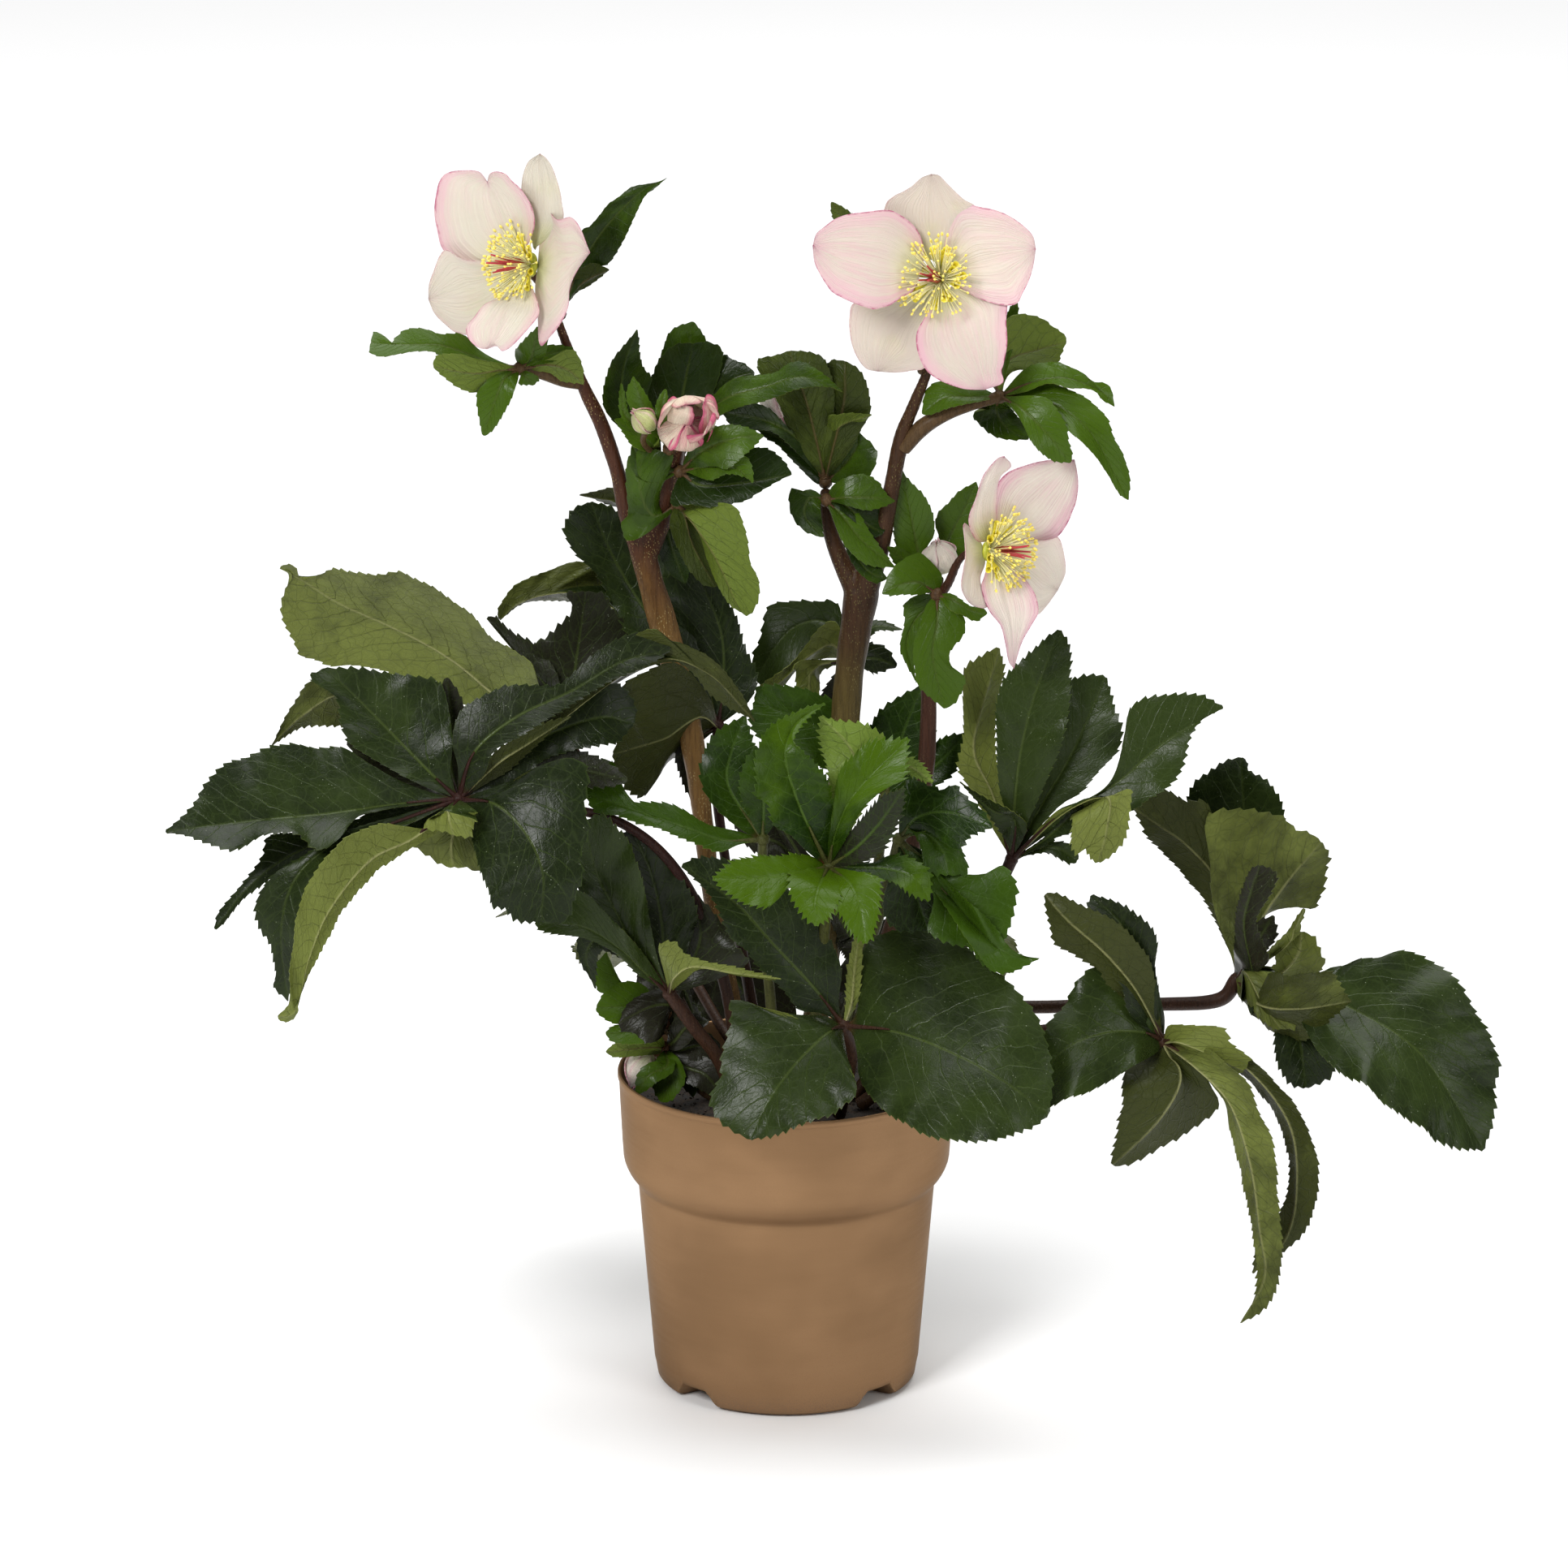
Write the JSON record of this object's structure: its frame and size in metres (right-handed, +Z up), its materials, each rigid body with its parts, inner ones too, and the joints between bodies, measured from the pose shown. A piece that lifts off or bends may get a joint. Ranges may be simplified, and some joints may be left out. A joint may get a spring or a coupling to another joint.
{
  "type": "hellebore plant",
  "caption": "Potted hellebore: pale pink-flushed open flowers and buds on branching leafy stems above palmate evergreen leaves, in a round tapered nursery pot.",
  "frame": {"origin": "centre of the pot's foot, on the surface that it stands on", "axes": "+Z up along the pot's axis; the open flowers look towards -Y; +X to the right as seen from there"},
  "size_m": [0.4976, 0.2828, 0.4904],
  "materials": {
    "pot": "matte moulded plastic with a bronze pigment",
    "soil": "dark, moist, crumbly potting soil",
    "crown": "rough, scaly old leaf bases",
    "stem": "fleshy, red-brown flushed with green",
    "leaf_old": "leathery, dark grey-green, satin",
    "leaf_green": "leathery, mid green, satin",
    "leaf_young": "soft, bright yellow-green",
    "bract": "soft, mid green, satin",
    "sepal": "thin, ivory flushed with pink, darker at the margin",
    "flower_centre": "yellow nectaries with pale stamens",
    "bud": "thin, closed, pink over ivory"
  },
  "bodies": {
    "root": {"bract_bud_hanging": "bract", "bract_bud_left": "bract", "bract_bud_low": "bract", "bract_bud_small": "bract", "bract_bud_up": "bract", "bract_left_back": "bract", "bract_left_flower": "bract", "bract_low_bud": "bract", "bract_low_shoot": "bract", "bract_mid_back": "bract", "bract_mid_front": "bract", "bract_right_back": "bract", "bract_right_flower": "bract", "bract_right_low": "bract", "bract_right_up": "bract", "bud_half_open": "bud", "bud_low": "bud", "bud_mid": "bud", "bud_right": "bud", "bud_small": "bud", "centre_left_flower": "flower_centre", "centre_lower_flower": "flower_centre", "centre_right_flower": "flower_centre", "crown": "crown", "leaf_back_left": "leaf_old", "leaf_back_right": "leaf_old", "leaf_behind_centre": "leaf_old", "leaf_centre_dark": "leaf_old", "leaf_far_right": "leaf_old", "leaf_front_low": "leaf_old", "leaf_left_back": "leaf_old", "leaf_left_centre": "leaf_green", "leaf_left_front": "leaf_old", "leaf_left_low": "leaf_old", "leaf_mid_back": "leaf_green", "leaf_right_centre": "leaf_green", "leaf_right_low": "leaf_old", "leaf_right_upright": "leaf_old", "leaf_young_front": "leaf_young", "pot": "pot", "sepal_left_flower_1": "sepal", "sepal_left_flower_2": "sepal", "sepal_left_flower_3": "sepal", "sepal_left_flower_4": "sepal", "sepal_left_flower_5": "sepal", "sepal_lower_flower_1": "sepal", "sepal_lower_flower_2": "sepal", "sepal_lower_flower_3": "sepal", "sepal_lower_flower_4": "sepal", "sepal_lower_flower_5": "sepal", "sepal_right_flower_1": "sepal", "sepal_right_flower_2": "sepal", "sepal_right_flower_3": "sepal", "sepal_right_flower_4": "sepal", "sepal_right_flower_5": "sepal", "soil": "soil", "stem_centre": "stem", "stem_left": "stem", "stem_low": "stem", "stem_right": "stem"}
  },
  "joints": []
}
